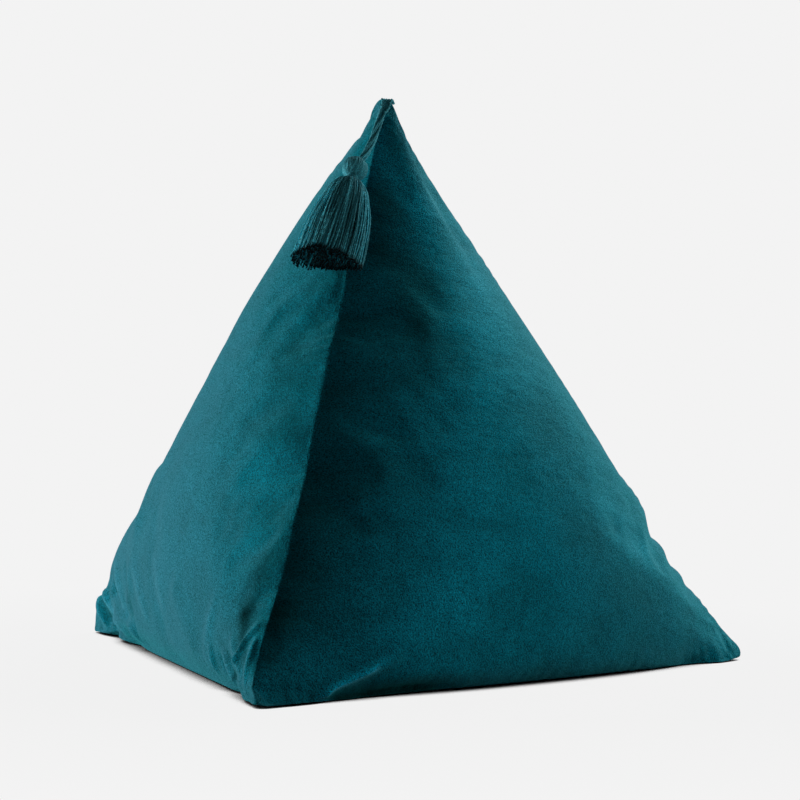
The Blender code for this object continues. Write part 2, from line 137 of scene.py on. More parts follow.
seamTable = (
    {"ends": ("left", "front"), "draw": 0.002, "skew": 0.0},
    {"ends": ("front", "right"), "draw": -0.015, "skew": -0.3},
    {"ends": ("right", "left"), "draw": 0.002, "skew": 0.0},
    {"ends": ("left", "top"), "draw": 0.002, "skew": 0.0},
    {"ends": ("front", "top"), "draw": 0.004, "skew": 0.0},
    {"ends": ("right", "top"), "draw": 0.005, "skew": 0.5},
)
# Tucks and sways of each seam: share along it, half length, reach, and how far out and to the left.
tuckTable = {
    ("front", "top"): (
        (0.07, 0.050, 0.045, 0.0, 0.0060),
        (0.45, 0.120, 0.050, 0.0, 0.0022),
        (0.62, 0.016, 0.020, -0.0020, 0.0),
        (0.36, 0.018, 0.022, -0.0022, 0.0),
    ),
    ("right", "top"): (
        (0.140, 0.008, 0.016, -0.0022, 0.0),
        (0.185, 0.009, 0.020, -0.0035, 0.0),
        (0.240, 0.010, 0.022, -0.0040, 0.0),
        (0.300, 0.018, 0.030, 0.0015, 0.0),
    ),
    ("left", "top"): (
        (0.800, 0.055, 0.045, 0.0055, 0.0),
        (0.875, 0.032, 0.030, 0.0035, 0.0),
        (0.160, 0.052, 0.050, 0.0168, 0.0),
        (0.945, 0.007, 0.012, -0.0025, 0.0),
        (0.048, 0.034, 0.034, 0.0034, 0.0),
        (0.085, 0.010, 0.022, -0.0040, 0.0),
    ),
    ("left", "front"): (
        (0.110, 0.016, 0.024, -0.0065, 0.0),
        (0.240, 0.014, 0.020, -0.0025, 0.0),
        (0.860, 0.012, 0.020, -0.0030, 0.0),
    ),
    ("front", "right"): (
        (0.120, 0.014, 0.024, -0.0030, 0.0),
        (0.880, 0.014, 0.024, -0.0030, 0.0),
    ),
    ("right", "left"): (
        (0.110, 0.012, 0.024, -0.0035, 0.0),
        (0.210, 0.014, 0.024, -0.0025, 0.0),
        (0.880, 0.013, 0.024, -0.0035, 0.0),
    ),
}
# Folds of each panel: from and to, as shares of its first two corners, half width, and rise.
foldTable = {
    "left": (
        ((0.84, 0.10), (0.70, 0.28), 0.007, 0.0040),
        ((0.81, 0.12), (0.67, 0.29), 0.007, -0.0030),
        ((0.55, 0.16), (0.57, 0.21), 0.012, 0.0025),
        ((0.58, 0.23), (0.67, 0.26), 0.013, 0.003),
        ((0.45, 0.33), (0.44, 0.5), 0.013, -0.002),
        ((0.33, 0.56), (0.29, 0.66), 0.011, 0.002),
        ((0.06, 0.35), (0.04, 0.49), 0.014, -0.002),
        ((0.04, 0.62), (0.04, 0.72), 0.012, -0.002),
        ((0.62, 0.22), (0.56, 0.24), 0.06, 0.001),
        ((0.23, 0.14), (0.15, 0.11), 0.045, 0.004),
    ),
    "right": (
        ((0.76, 0.15), (0.86, 0.08), 0.007, -0.0012),
        ((0.56, 0.06), (0.62, 0.06), 0.013, 0.002),
        ((0.12, 0.69), (0.2, 0.56), 0.011, -0.0025),
    ),
    "back": (
        ((0.76, 0.16), (0.68, 0.21), 0.01, 0.003),
        ((0.16, 0.74), (0.22, 0.64), 0.011, 0.003),
        ((0.13, 0.66), (0.19, 0.58), 0.012, -0.0025),
        ((0.06, 0.06), (0.09, 0.12), 0.009, 0.002),
    ),
}


def cornerPoint(row):
    angle = math.radians(row["bearing"])
    return np.array((row["reach"] * math.cos(angle), row["reach"] * math.sin(angle), row["height"]))


tips = np.array([cornerPoint(cornerTable[name]) for name in cornerNames])
middle = tips.mean(axis=0)


def column(name):
    return cornerNames.index(name)


def tipsOf(names):
    return [tips[column(name)] for name in names]


def panelNormal(row):
    a, b, c = tipsOf(row["corners"])
    return unitOf(np.cross(b - a, c - a))


def seamAxes(ends):
    # Out of the cushion, to the left seen from outside, and the seam's length.
    first, last = tipsOf(ends)
    along = unitOf(last - first)
    outward = (first + last) / 2 - middle
    outward = unitOf(outward - along * (outward @ along))
    return outward, np.cross(outward, along), np.linalg.norm(last - first)


def besideSeam(ends, shares):
    # The share of the way along the seam and the distance from it, and how near both ends a point is.
    first, last = shares[:, column(ends[0])], shares[:, column(ends[1])]
    held = np.maximum(first + last, 1e-9)
    return last / held, (1.0 - held) * panelDepth, first * last


def fromSeamOf(shares):
    # The distance from a panel's nearest seam.
    return np.sort(shares, axis=1)[:, 1] * panelDepth


def filledPoints(shares, crownShare=1.0):
    # The product of the shares is a quarter at the middle of a seam, and a 27th at that of a panel.
    s = cushionSettings
    points = shares @ tips
    for name, row in cornerTable.items():
        c = column(name)
        away = np.maximum(1.0 - shares[:, c], 1e-9)
        axis = unitOf(tips[c] - middle)
        sideways = np.zeros_like(points)
        for other in range(4):
            if other != c:
                step = tips[other] - tips[c]
                sideways += shares[:, other : other + 1] * (step - axis * (step @ axis))
        blunt = row["blunt"] / baseReach
        grow = (1.0 + (blunt / away) ** 2) ** s["bluntness"] - 1.0
        points = points + sideways * np.where(away > 1e-8, grow, 0.0)[:, None]
    for row in seamTable:
        outward = seamAxes(row["ends"])[0]
        share, _, both = besideSeam(row["ends"], shares)
        pull = row["draw"] * (1.0 + row["skew"] * (1.0 - 2.0 * share)) * (4.0 * both) ** s["drawFullness"]
        points = points - outward * pull[:, None]
    for ends, tucks in tuckTable.items():
        outward, left, seamLength = seamAxes(ends)
        share, distance, both = besideSeam(ends, shares)
        for at, length, reach, out, side in tucks:
            size = bell((share - at) * seamLength, length) * bell(distance, reach)
            size = size * np.minimum(1.0, s["tipHold"] * share * (1.0 - share)) * (both > 0)
            points = points + (outward * out + left * side) * size[:, None]
    flat = shares @ tips
    for name, row in panelTable.items():
        normal = panelNormal(row)
        own = shares[:, [column(c) for c in row["corners"]]]
        inside = own.min(axis=1) > 0
        product = 27.0 * own.prod(axis=1)
        swell = product * ((1.0 + s["crownEase"]) / (product + s["crownEase"])) ** s["crownFullness"]
        points = points + normal * (row["crown"] * crownShare * swell)[:, None]
        fade = np.minimum(1.0, own.min(axis=1) / s["seamHold"]) * inside
        for begin, end, width, rise in foldTable.get(name, ()):
            points = points + normal * (rise * foldShape(flat, row, begin, end, width) * fade)[:, None]
    return points


def pointAt(at, corners):
    # The third corner has the share that the first two leave.
    return at[0] * corners[0] + at[1] * corners[1] + round(1.0 - at[0] - at[1], 3) * corners[2]


def besideFold(flat, row, begin, end):
    # The share of the way along a fold, and the distance from it.
    corners = tipsOf(row["corners"])
    first, last = pointAt(begin, corners), pointAt(end, corners)
    along = last - first
    share = np.clip(((flat - first) @ along) / (along @ along), 0.0, 1.0)
    return share, np.linalg.norm(flat - first - share[:, None] * along, axis=1)


def foldShape(flat, row, begin, end, width):
    return bell(besideFold(flat, row, begin, end)[1], width)


# The four feet, as whole steps from each corner, and how steeply the base rises outside of them.
feet = (
    {"left": 32, "front": 5, "right": 5},
    {"left": 5, "front": 5, "right": 32},
    {"left": 5, "front": 30, "right": 7},
    {"left": 7, "front": 30, "right": 5},
)
feetRise = 0.03


def footPoints():
    counts = np.array([[row.get(name, 0) for name in cornerNames] for row in feet])
    return filledPoints(sharesOf(counts))[:, :2]


def pressOnFloor(points):
    # The floor flattens the base between its feet, and the base rises a little outside of them.
    corners = footPoints()
    outside = np.full(len(points), -1.0)
    for i, start in enumerate(corners):
        ahead = unitOf(corners[(i + 1) % len(corners)] - start)
        step = points[:, :2] - start
        outside = np.maximum(outside, ahead[0] * step[:, 1] - ahead[1] * step[:, 0])
    roll = cushionSettings["floorRoll"]
    z = points[:, 2]
    soft = (z + roll) ** 2 / (4.0 * roll)
    lifted = np.where(z < -roll, 0.0, np.where(z < roll, soft, z))
    lifted = np.where((outside < 1e-6) & (z < roll), 0.0, lifted)
    points = points.copy()
    points[:, 2] = np.maximum(lifted, feetRise * np.maximum(outside, 0.0))
    return points


def clothPoints(shares, crownShare=1.0):
    return pressOnFloor(filledPoints(shares, crownShare))


def latticeOf(steps):
    # Every panel's triangular lattice, with the seams shared: whole steps of each point, and faces.
    keys, triangles, panels = [], [], []
    size = steps + 1
    for number, row in enumerate(panelTable.values()):
        a, b, c = (column(name) for name in row["corners"])
        i, j = np.meshgrid(np.arange(size), np.arange(size), indexing="ij")
        i, j = i[i + j <= steps], j[i + j <= steps]

        def keyOf(i, j):
            counts = np.zeros((len(i), 4), np.int64)
            counts[:, a], counts[:, b], counts[:, c] = steps - i - j, i, j
            return counts @ np.array([size**3, size**2, size, 1], np.int64)

        keys.append(keyOf(i, j))
        lower = i + j < steps
        first = [keyOf(i[lower], j[lower]), keyOf(i[lower] + 1, j[lower]), keyOf(i[lower], j[lower] + 1)]
        upper = i + j < steps - 1
        i, j = i[upper], j[upper]
        second = [keyOf(i + 1, j), keyOf(i + 1, j + 1), keyOf(i, j + 1)]
        triangles += [np.stack(first, 1), np.stack(second, 1)]
        panels.append(np.full(len(first[0]) + len(second[0]), number))
    unique = np.unique(np.concatenate(keys))
    counts = np.stack([unique // size**power % size for power in (3, 2, 1, 0)], 1)
    return counts, np.searchsorted(unique, np.concatenate(triangles)), np.concatenate(panels)


def sharesOf(counts):
    weights = (counts / counts.sum(axis=1, keepdims=True)) ** cushionSettings["crowding"]
    return weights / weights.sum(axis=1, keepdims=True)


def edgesOf(faces):
    pairs = np.sort(np.concatenate([faces[:, [0, 1]], faces[:, [1, 2]], faces[:, [2, 0]]]), axis=1)
    return np.unique(pairs, axis=0)


def smoothed(values, edges, times, keep=0.0):
    count = np.bincount(edges.ravel(), minlength=len(values)).astype(float)[:, None]
    for _ in range(times):
        total = np.stack(
            [
                np.bincount(edges[:, 0], values[edges[:, 1], k], len(values))
                + np.bincount(edges[:, 1], values[edges[:, 0], k], len(values))
                for k in range(values.shape[1])
            ],
            1,
        )
        values = keep * values + (1.0 - keep) * total / count
    return values


def normalsOf(points, faces):
    corners = points[faces]
    face = np.cross(corners[:, 1] - corners[:, 0], corners[:, 2] - corners[:, 0])
    total = np.stack(
        [sum(np.bincount(faces[:, k], face[:, m], len(points)) for k in range(3)) for m in range(3)], 1
    )
    return total / np.maximum(np.linalg.norm(total, axis=1, keepdims=True), 1e-12)


# Filling: the panels are blown up as cloth, a little larger than their seams, so that they pucker there.
fillingSettings = {
    "steps": 96,
    "frames": 20,
    "startCrown": 0.85,
    "slackReach": 0.018,
    "cloth": {
        "quality": 6,
        "use_pressure": True,
        "uniform_pressure_force": 4.0,
        "tension_stiffness": 18.0,
        "compression_stiffness": 18.0,
        "shear_stiffness": 6.0,
        "bending_stiffness": 0.25,
        "vertex_group_mass": "pins",
        "vertex_group_shrink": "loose",
        "shrink_min": 0.0,
        "shrink_max": -0.035,
    },
    "cap": 0.0045,
    "floorHold": 0.0015,
    "broadSteps": 60,
    "fineSteps": 2,
    "fineKeep": 0.3,
}


def fillCushion(settings):
    counts, faces, _ = latticeOf(settings["steps"])
    shares = sharesOf(counts)
    aim = clothPoints(shares)
    pad = newObject("fillingPad", clothPoints(shares, settings["startCrown"]), faces)
    held = aim[:, 2] < settings["floorHold"]
    pins = pad.vertex_groups.new(name="pins")
    pins.add([int(i) for i in np.flatnonzero(held)], 1.0, "REPLACE")
    loose = pad.vertex_groups.new(name="loose")
    for i, weight in enumerate(1.0 - bell(fromSeamOf(shares), settings["slackReach"])):
        loose.add([i], float(weight), "REPLACE")
    cloth = pad.modifiers.new("cloth", "CLOTH")
    for key, value in settings["cloth"].items():
        setattr(cloth.settings, key, value)
    cloth.settings.effector_weights.gravity = 0.0
    cloth.collision_settings.use_collision = False
    cloth.point_cache.frame_start = 1
    cloth.point_cache.frame_end = settings["frames"]
    for number in range(1, settings["frames"] + 1):
        scene.frame_set(number)
    evaluated = pad.evaluated_get(bpy.context.evaluated_depsgraph_get())
    moved = readPoints(evaluated.data) - aim
    bpy.data.objects.remove(pad)
    scene.frame_set(1)
    length = np.linalg.norm(moved, axis=1) * 1000
    print("filling moved the cloth", round(float(length.mean()), 1), "mm on average")
    return counts, moved


def spreadMoves(counts, moved, fineCounts):
    # From the coarse lattice to one with twice the steps: each new point lies midway between two old ones.
    size = counts[0].sum() + 1
    places = np.array([size**3, size**2, size, 1], np.int64)
    oldKeys = counts @ places
    low, high = fineCounts.copy(), fineCounts.copy()
    odd = fineCounts % 2 == 1
    firstOdd = odd & (np.cumsum(odd, axis=1) == 1)
    lastOdd = odd & ~firstOdd
    low[firstOdd] -= 1
    low[lastOdd] += 1
    high[firstOdd] += 1
    high[lastOdd] -= 1
    found = [moved[np.searchsorted(oldKeys, (part // 2) @ places)] for part in (low, high)]
    return (found[0] + found[1]) / 2


# Sewing: small gathers along each seam, creases, seams tucked under the base, and rounded tips.
sewingSettings = {
    "gatherDepth": 0.00045,
    "gatherReach": 0.013,
    "gatherLength": 0.0105,
    "gatherSway": 1.7,
    "gatherSwayTurns": 0.23,
    "gatherSizeTurns": 0.11,
    "gatherEnds": 30.0,
    "gatherSeed": 7,
    "threadDip": 0.6,
    "threadReach": 0.002,
    "seamFade": 0.015,
    "floorFade": 0.004,
    "underFade": 0.08,
    "creaseTaper": 0.7,
    "creaseEndWidth": 0.6,
    "tipRound": 0.0045,
    "tipSteps": 5,
    "tipKeep": 0.3,
    # The next two paint a highlight on each fold's crest and shade in its hollow.
    "crestPaintedLight": 210.0,
    "crestWidth": 0.8,
    "fineLine": 0.004,
}
# The base's seams are drawn under: ends, how far, half width, and the shares along the seam between
# which it happens.
underTable = (
    (("front", "right"), 0.0070, 0.010, 0.10, 0.93),
    (("left", "front"), 0.0045, 0.008, 0.14, 0.93),
    (("right", "left"), 0.0040, 0.009, 0.10, 0.90),
)
# Fine creases of each panel: from and to, half width, and rise.
creaseTable = {
    "left": (
        ((0.945, 0.000), (0.920, 0.070), 0.0036, 0.0026),
        ((0.925, 0.012), (0.892, 0.098), 0.0034, -0.0022),
        ((0.900, 0.030), (0.860, 0.120), 0.0036, 0.0020),
        ((0.880, 0.082), (0.770, 0.214), 0.0042, 0.0030),
        ((0.875, 0.107), (0.790, 0.202), 0.0040, -0.0022),
        ((0.014, 0.885), (0.026, 0.950), 0.0026, 0.0016),
        ((0.012, 0.866), (0.080, 0.886), 0.0030, 0.0022),
        ((0.095, 0.820), (0.040, 0.925), 0.0028, 0.0018),
        ((0.118, 0.820), (0.065, 0.910), 0.0026, -0.0016),
        ((0.146, 0.798), (0.085, 0.898), 0.0030, 0.0028),
        ((0.170, 0.776), (0.138, 0.846), 0.0028, -0.0016),
        ((0.198, 0.742), (0.196, 0.788), 0.0034, 0.0026),
        ((0.150, 0.715), (0.240, 0.735), 0.0070, 0.0013),
        ((0.790, 0.090), (0.720, 0.235), 0.0060, 0.0022),
        ((0.700, 0.170), (0.640, 0.310), 0.0065, -0.0018),
        ((0.600, 0.260), (0.530, 0.415), 0.0075, 0.0018),
        ((0.450, 0.385), (0.415, 0.510), 0.0090, 0.0014),
        ((0.005, 0.320), (0.105, 0.350), 0.0080, 0.0010),
        ((0.005, 0.370), (0.095, 0.395), 0.0080, -0.0008),
    ),
    "right": (
        ((0.775, 0.166), (0.905, 0.090), 0.0040, 0.0044),
        ((0.730, 0.200), (0.815, 0.142), 0.0040, 0.0020),
        ((0.640, 0.345), (0.875, 0.117), 0.0085, -0.0048),
    ),
}
# Painted light and shade on each panel, with a lean of its pile's shading normal: from and to, half
# width, which way it leans, and how much lighter it is painted. Lines narrower than fineLine thin out at
# their ends.
leanAndPaintedToneTable = {
    "right": (
        ((0.850, 0.010), (0.640, 0.010), 0.022, (0.30, -0.10, 0.0), -0.50),
        ((0.930, 0.010), (0.850, 0.010), 0.009, (0.20, -0.10, 0.0), -0.35),
        ((0.520, 0.010), (0.400, 0.010), 0.016, (0.20, -0.10, 0.0), -0.15),
        ((0.200, 0.040), (0.000, 0.020), 0.030, (0.0, -0.42, 0.0), 0.06),
        ((0.600, 0.240), (0.390, 0.250), 0.058, (0.15, 0.10, 0.0), 0.50),
        ((0.640, 0.290), (0.400, 0.450), 0.045, (0.0, 0.0, 0.0), 0.25),
        ((0.090, 0.020), (0.118, 0.075), 0.013, (0.20, 0.13, 0.0), 0.60),
        ((0.125, 0.088), (0.175, 0.105), 0.012, (0.12, 0.08, 0.0), 0.25),
        ((0.140, 0.035), (0.157, 0.055), 0.008, (0.0, 0.0, 0.0), -0.40),
        ((0.240, 0.085), (0.315, 0.110), 0.015, (0.0, 0.0, 0.0), -0.50),
        ((0.170, 0.012), (0.250, 0.030), 0.011, (0.0, 0.0, 0.0), -0.60),
        ((0.125, 0.180), (0.200, 0.270), 0.026, (0.18, 0.11, 0.0), 0.30),
        ((0.172, 0.180), (0.268, 0.190), 0.020, (0.18, 0.10, 0.0), 0.25),
        ((0.880, 0.065), (0.740, 0.180), 0.016, (0.0, 0.0, 0.0), 0.30),
        ((0.938, 0.012), (0.965, 0.012), 0.006, (0.0, 0.0, 0.0), 0.60),
        ((0.200, 0.520), (0.150, 0.640), 0.018, (0.25, 0.15, 0.0), 0.40),
        ((0.780, 0.163), (0.905, 0.090), 0.0024, (0.0, 0.0, 0.2), 2.20),
        ((0.740, 0.188), (0.822, 0.138), 0.0022, (0.0, 0.0, 0.2), 1.10),
        ((0.690, 0.300), (0.860, 0.134), 0.0065, (0.0, 0.0, -0.4), -0.60),
    ),
    "left": (
        ((0.000, 0.955), (0.000, 0.845), 0.010, (-0.45, 0.0, 0.0), 0.15),
        ((0.000, 0.640), (0.000, 0.480), 0.008, (-0.30, 0.0, 0.0), 0.10),
        ((0.072, 0.590), (0.078, 0.700), 0.018, (-0.30, 0.0, 0.0), 0.15),
        ((0.020, 0.700), (0.026, 0.770), 0.009, (0.0, 0.0, 0.0), -0.20),
        ((0.045, 0.755), (0.052, 0.815), 0.011, (0.25, 0.0, 0.0), -0.20),
        ((0.058, 0.822), (0.046, 0.872), 0.0060, (0.40, 0.0, 0.0), -0.55),
        ((0.070, 0.882), (0.100, 0.884), 0.0039, (0.30, 0.0, 0.0), -0.45),
        ((0.038, 0.888), (0.030, 0.916), 0.0036, (0.30, 0.0, 0.0), -0.45),
        ((0.118, 0.832), (0.143, 0.784), 0.0050, (0.15, 0.0, 0.0), -0.15),
        ((0.300, 0.550), (0.250, 0.350), 0.080, (-0.12, 0.0, 0.0), 0.10),
        ((0.060, 0.020), (0.030, 0.100), 0.020, (-0.4, 0.0, 0.0), 0.0),
    ),
}


def creaseShape(flat, row, begin, end, width):
    # A fold that thins out to nothing at both ends.
    share, distance = besideFold(flat, row, begin, end)
    taper = (4.0 * share * (1.0 - share)) ** sewingSettings["creaseTaper"]
    narrow = sewingSettings["creaseEndWidth"]
    return bell(distance, width * (narrow + (1.0 - narrow) * taper)) * taper


def gatherShift(shares, settings):
    # Small waves beside each seam, some stretches deeper than others.
    shift = np.zeros(len(shares))
    rng = np.random.default_rng(settings["gatherSeed"])
    for row in seamTable:
        share, distance, both = besideSeam(row["ends"], shares)
        turned = share * cushionSettings["seamLength"] * (2 * math.pi / settings["gatherLength"])
        phase = rng.random(3) * 2 * math.pi
        sway = settings["gatherSway"] * np.sin(turned * settings["gatherSwayTurns"] + phase[1])
        size = 0.5 + 0.5 * np.sin(turned * settings["gatherSizeTurns"] + phase[2])
        thread = 1.0 - settings["threadDip"] * bell(distance, settings["threadReach"])
        beside = bell(distance, settings["gatherReach"]) * thread
        held = np.minimum(1.0, settings["gatherEnds"] * both)
        shift += settings["gatherDepth"] * np.sin(turned + phase[0] + sway) * size * beside * held
    return shift


def sewCushion(points, faces, edges, shares, settings):
    normals = normalsOf(points, faces)
    shift = gatherShift(shares, settings)
    flat = shares @ tips
    for name, row in panelTable.items():
        own = shares[:, [column(c) for c in row["corners"]]]
        fade = np.minimum(1.0, own.min(axis=1) / settings["seamFade"])
        for begin, end, width, rise in creaseTable.get(name, ()):
            shift += rise * creaseShape(flat, row, begin, end, width) * fade
    shift *= np.clip(points[:, 2] / settings["floorFade"], 0.0, 1.0)
    points = points + normals * shift[:, None]
    for ends, size, width, low, high in underTable:
        outward = unitOf(seamAxes(ends)[0] * (1.0, 1.0, 0.0))
        share, distance, _ = besideSeam(ends, shares)
        entering, leaving = (share - low) / settings["underFade"], (high - share) / settings["underFade"]
        inside = np.clip(entering, 0, 1) * np.clip(leaving, 0, 1)
        points = points - outward * (size * bell(distance, width) * inside)[:, None]
    # The corners' ends are soft and round.
    fromTip = (1.0 - shares.max(axis=1)) * panelDepth
    near = bell(fromTip, settings["tipRound"])[:, None]
    points = points + (smoothed(points, edges, settings["tipSteps"], settings["tipKeep"]) - points) * near
    points[:, 2] = np.maximum(points[:, 2], 0.0)
    return points


def makeCushion():
    counts, faces, panels = latticeOf(cushionSettings["steps"])
    shares = sharesOf(counts)
    points = clothPoints(shares)
    edges = edgesOf(faces)
    coarseCounts, moved = fillCushion(fillingSettings)
    moved = spreadMoves(coarseCounts, moved, counts)
    # The filling's own broad swell is taken off: its puckers are wanted here, and only up to a cap.
    broad = smoothed(moved, edges, fillingSettings["broadSteps"])
    fine = smoothed(moved, edges, fillingSettings["fineSteps"], fillingSettings["fineKeep"]) - broad
    size = np.linalg.norm(fine, axis=1, keepdims=True)
    cap = fillingSettings["cap"]
    fine *= cap * np.tanh(size / cap) / np.maximum(size, 1e-9)
    points = points + fine
    points[:, 2] = np.maximum(points[:, 2], 0.0)
    points = sewCushion(points, faces, edges, shares, sewingSettings)
    made = newObject("velvetCushion", points, faces)
    made.data.shade_smooth()
    markSeams(made.data, panels)
    addPanelMap(made.data, shares, faces, panels)
    addLeanAndPaintedTone(made.data, shares, faces, panels, sewingSettings)
    print("cushion made:", len(faces), "triangles")
    return made


def markSeams(mesh, panels):
    # The shading breaks at a seam, as it does where two cloths are sewn together.
    edgeOf = np.empty(len(mesh.loops), np.int32)
    mesh.loops.foreach_get("edge_index", edgeOf)
    panelOf = np.repeat(panels, 3)
    low = np.full(len(mesh.edges), len(panelTable))
    high = np.full(len(mesh.edges), -1)
    np.minimum.at(low, edgeOf, panelOf)
    np.maximum.at(high, edgeOf, panelOf)
    addValues(mesh, "sharp_edge", "BOOLEAN", "EDGE", low != high)


def addPanelMap(mesh, shares, faces, panels):
    # Each panel's own flat map in metres, along its first seam and up from it, for the pile and weave.
    flat = shares @ tips
    places = np.zeros((len(faces), 3, 2), np.float32)
    for number, row in enumerate(panelTable.values()):
        first, second = tipsOf(row["corners"][:2])
        along = unitOf(second - first)
        upward = np.cross(panelNormal(row), along)
        chosen = panels == number
        away = flat[faces[chosen]] - first
        places[chosen, :, 0] = away @ along
        places[chosen, :, 1] = away @ upward
    layer = mesh.uv_layers.new(name="panelMap")
    layer.data.foreach_set("uv", places.ravel())


def addLeanAndPaintedTone(mesh, shares, faces, panels, settings):
    # Which way the pile's shading normal leans, the painted light and shade, and how far each point is from
    # its nearest seam.
    flat = shares @ tips
    leans = np.zeros((len(faces), 3, 3), np.float32)
    paintedLightShift = np.zeros((len(faces), 3), np.float32)
    for number, (name, row) in enumerate(panelTable.items()):
        chosen = panels == number
        for begin, end, width, lean, tone in leanAndPaintedToneTable.get(name, ()):
            shape = creaseShape if width < settings["fineLine"] else foldShape
            strong = shape(flat, row, begin, end, width)
            leans[chosen] += (strong[:, None] * lean)[faces[chosen]]
            paintedLightShift[chosen] += tone * strong[faces[chosen]]
        # Painted highlight on the crest of a fold, and painted shade in its hollow.
        for begin, end, width, rise in creaseTable.get(name, ()):
            strong = creaseShape(flat, row, begin, end, settings["crestWidth"] * width)
            paintedLightShift[chosen] += settings["crestPaintedLight"] * rise * strong[faces[chosen]]
    addValues(mesh, "fromSeam", "FLOAT", "POINT", fromSeamOf(shares).astype(np.float32))
    addValues(mesh, "pileLean", "FLOAT_VECTOR", "CORNER", leans.ravel())
    addValues(mesh, "paintedTone", "FLOAT", "CORNER", 1.0 + paintedLightShift.ravel())


cushion = makeCushion()


# Node helpers.
def addNode(tree, kind, given=None, **values):
    # A node, and what its inputs are given: a plain value, or the socket that feeds it.
    made = tree.nodes.new(kind)
    for key, value in values.items():
        setattr(made, key, value)
    for key, value in (given or {}).items():
        if isinstance(value, bpy.types.NodeSocket):
            tree.links.new(value, made.inputs[key])
        else:
            made.inputs[key].default_value = value
    return made


def addMath(tree, kind, *given):
    return addNode(tree, "ShaderNodeMath", dict(enumerate(given)), operation=kind).outputs[0]


def addRange(tree, value, low, high, start=0.0, end=1.0, kind="LINEAR"):
    given = {"Value": value, "From Min": low, "From Max": high, "To Min": start, "To Max": end}
    return addNode(tree, "ShaderNodeMapRange", given, interpolation_type=kind).outputs["Result"]


def addSockets(group, side, rows):
    for name, kind, value in rows:
        made = group.interface.new_socket(name, in_out=side, socket_type="NodeSocket" + kind)
        if value is not None:
            made.default_value = value


# Yarn: tubes that follow lines, thinner or thicker along them, with two plies that turn.
def makeYarnTree():
    tree = bpy.data.node_groups.new("yarnTubes", "GeometryNodeTree")
    wanted = (
        ("Lines", "Geometry", None),
        ("Radius", "Float", 0.0008),
        ("Ply Depth", "Float", 0.12),
        ("Turns Per Metre", "Float", 100.0),
        ("Sides", "Int", 6),
        ("Material", "Material", None),
    )
    addSockets(tree, "INPUT", wanted)
    addSockets(tree, "OUTPUT", (("Yarns", "Geometry", None),))
    begin = addNode(tree, "NodeGroupInput").outputs
    curves = addNode(tree, "GeometryNodeMeshToCurve", {"Mesh": begin["Lines"]})
    thick = addNode(tree, "GeometryNodeInputNamedAttribute", {"Name": "thick"}, data_type="FLOAT")
    width = addMath(tree, "MULTIPLY", thick.outputs["Attribute"], begin["Radius"])
    along = addNode(tree, "GeometryNodeSplineParameter").outputs
    turns = addMath(tree, "MULTIPLY", along["Length"], begin["Turns Per Metre"])
    angle = addMath(tree, "MULTIPLY", turns, 2 * math.pi)
    turned = addNode(tree, "GeometryNodeSetCurveTilt", {"Curve": curves.outputs["Curve"], "Tilt": angle})
    # The outline of a yarn is a ring with two lobes.
    sides = {"Radius": 1.0, "Resolution": begin["Sides"]}
    ring = addNode(tree, "GeometryNodeCurvePrimitiveCircle", sides, mode="RADIUS")
    around = addNode(tree, "GeometryNodeSplineParameter").outputs
    wave = addMath(tree, "COSINE", addMath(tree, "MULTIPLY", around["Factor"], 4 * math.pi))
    lobe = addMath(tree, "MULTIPLY_ADD", wave, begin["Ply Depth"], 1.0)
    place = addNode(tree, "GeometryNodeInputPosition").outputs["Position"]
    lobed = addNode(tree, "ShaderNodeVectorMath", {0: place, "Scale": lobe}, operation="SCALE")
    moved = {"Geometry": ring.outputs["Curve"], "Position": lobed.outputs["Vector"]}
    shaped = addNode(tree, "GeometryNodeSetPosition", moved)
    drawn = {
        "Curve": turned.outputs["Curve"],
        "Profile Curve": shaped.outputs["Geometry"],
        "Scale": width,
        "Fill Caps": True,
    }
    made = addNode(tree, "GeometryNodeCurveToMesh", drawn).outputs["Mesh"]
    for kind in ("GeometryNodeSetShadeSmooth", "GeometryNodeRealizeInstances"):
        made = addNode(tree, kind, {"Geometry": made}).outputs["Geometry"]
    paint = addNode(tree, "GeometryNodeSetMaterial", {"Geometry": made, "Material": begin["Material"]})
    addNode(tree, "NodeGroupOutput", {"Yarns": paint.outputs["Geometry"]})
    return tree


yarnTree = makeYarnTree()


def makeYarns(name, lines, material, settings, closed=False):
    # Each line has its points, with a thickness share and a cut-end share for each, and one tone.
    points, edges, thick, tone, cut = [], [], [], [], []
    for line in lines:
        start = len(points)
        points += [tuple(point) for point in line["points"]]
        count = len(line["points"])
        edges += [(start + i, start + i + 1) for i in range(count - 1)]
        if closed:
            edges.append((start + count - 1, start))
        thick += list(line["thick"])
        tone += [line["tone"]] * count
        cut += list(line.get("cut", [0.0] * count))
    holder = newObject(name + "Lines", points, [], edges)
    for key, values in (("thick", thick), ("yarnTone", tone), ("cutEnd", cut)):
        addValues(holder.data, key, "FLOAT", "POINT", np.array(values, np.float32))
    holder.data.materials.append(material)
    maker = holder.modifiers.new("yarns", "NODES")
    maker.node_group = yarnTree
    values = {"Radius": settings["yarnRadius"], "Material": material, **settings["yarn"]}
    for item in yarnTree.interface.items_tree:
        if item.in_out == "INPUT" and item.name in values:
            maker[item.identifier] = values[item.name]
    evaluated = holder.evaluated_get(bpy.context.evaluated_depsgraph_get())
    mesh = bpy.data.meshes.new_from_object(evaluated)
    bpy.data.objects.remove(holder)
    turnOutwards(mesh)
    mesh.name = name
    made = bpy.data.objects.new(name, mesh)
    scene.collection.objects.link(made)
    print(name, "made:", len(mesh.polygons), "faces")
    return made


def turnOutwards(mesh):
    work = bmesh.new()
    work.from_mesh(mesh)
    if work.calc_volume(signed=True) < 0:
        bmesh.ops.reverse_faces(work, faces=work.faces)
    work.to_mesh(mesh)
    work.free()


